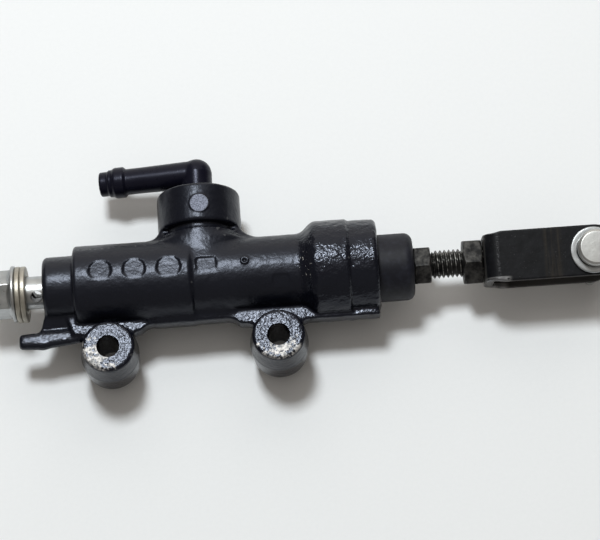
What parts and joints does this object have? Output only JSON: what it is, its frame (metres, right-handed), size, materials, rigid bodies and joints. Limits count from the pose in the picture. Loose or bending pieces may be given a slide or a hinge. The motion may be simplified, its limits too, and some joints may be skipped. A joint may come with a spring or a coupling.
{
  "type": "brake master cylinder",
  "caption": "Rear brake master cylinder with banjo outlet, swivelling hose inlet, sprung piston, booted pushrod and an adjustable clevis.",
  "frame": {"origin": "midway between the two mounting holes, on the mounting face", "axes": "+X along the cylinder from outlet to clevis, +Y from the mounting holes towards the inlet cup, +Z out of the mounting face through the bosses"},
  "size_m": [0.1766, 0.0645, 0.0276],
  "materials": {
    "housing_paint": "semi-gloss black paint over cast aluminium, worn at the bosses",
    "zinc_steel": "bright zinc plate",
    "crush_washer": "dull, tarnished",
    "elbow_plastic": "satin moulded black plastic",
    "seal_rubber": "smooth rubber",
    "boot_rubber": "matt grey-black rubber",
    "clip_steel": "phosphated spring steel",
    "piston_alloy": "hard anodised",
    "dark_steel": "black oxide, handled",
    "clevis_paint": "satin black plating on bent sheet steel"
  },
  "bodies": {
    "body": {"housing": "housing_paint", "banjo_bolt": "zinc_steel", "crush_washer_outer": "crush_washer", "crush_washer_inner": "crush_washer", "inlet_circlip": "clip_steel", "stop_washer": "clip_steel", "pushrod_circlip": "clip_steel", "dust_boot": "boot_rubber", "return_spring": "clip_steel"},
    "inlet": {"inlet_elbow": "elbow_plastic", "inlet_o_ring": "seal_rubber"},
    "piston_group": {"piston": "piston_alloy", "primary_cup": "seal_rubber", "secondary_cup": "seal_rubber", "spring_seat": "clip_steel"},
    "pushrod": {"pushrod": "dark_steel"},
    "lock_nut": {"lock_nut": "dark_steel"},
    "clevis": {"clevis": "clevis_paint", "joint_nut": "dark_steel"},
    "clevis_pin": {"clevis_pin": "zinc_steel", "head_washer": "zinc_steel", "keeper_washer": "zinc_steel", "cotter_pin": "zinc_steel"}
  },
  "joints": [
    {"name": "piston_stroke", "type": "slide", "parent": "body", "child": "piston_group", "axis": [-1, 0, 0], "range_m": [0, 0.008], "stiffness_N_per_m": 1200, "springref_m": -0.01, "deforming": ["return_spring", "dust_boot"]},
    {"name": "rod_swing", "type": "hinge", "parent": "piston_group", "child": "pushrod", "pos_m": [0.0404, 0.0197, 0.0083], "axis": [0, 0, 1], "range_deg": [-3, 3]},
    {"name": "length_adjust", "type": "slide", "parent": "pushrod", "child": "lock_nut", "axis": [1, 0, 0], "range_m": [-0.005, 0.003]},
    {"name": "clevis_turn", "type": "hinge", "parent": "lock_nut", "child": "clevis", "pos_m": [0.0818, 0.0197, 0.0083], "axis": [1, 0, 0], "continuous": true},
    {"name": "pin_turn", "type": "hinge", "parent": "clevis", "child": "clevis_pin", "pos_m": [0.1124, 0.0197, 0.0083], "axis": [0, -0.2079, 0.9781], "continuous": true},
    {"name": "inlet_swivel", "type": "hinge", "parent": "body", "child": "inlet", "pos_m": [0.0032, 0.0197, 0.0083], "axis": [0, 1, 0], "continuous": true}
  ]
}
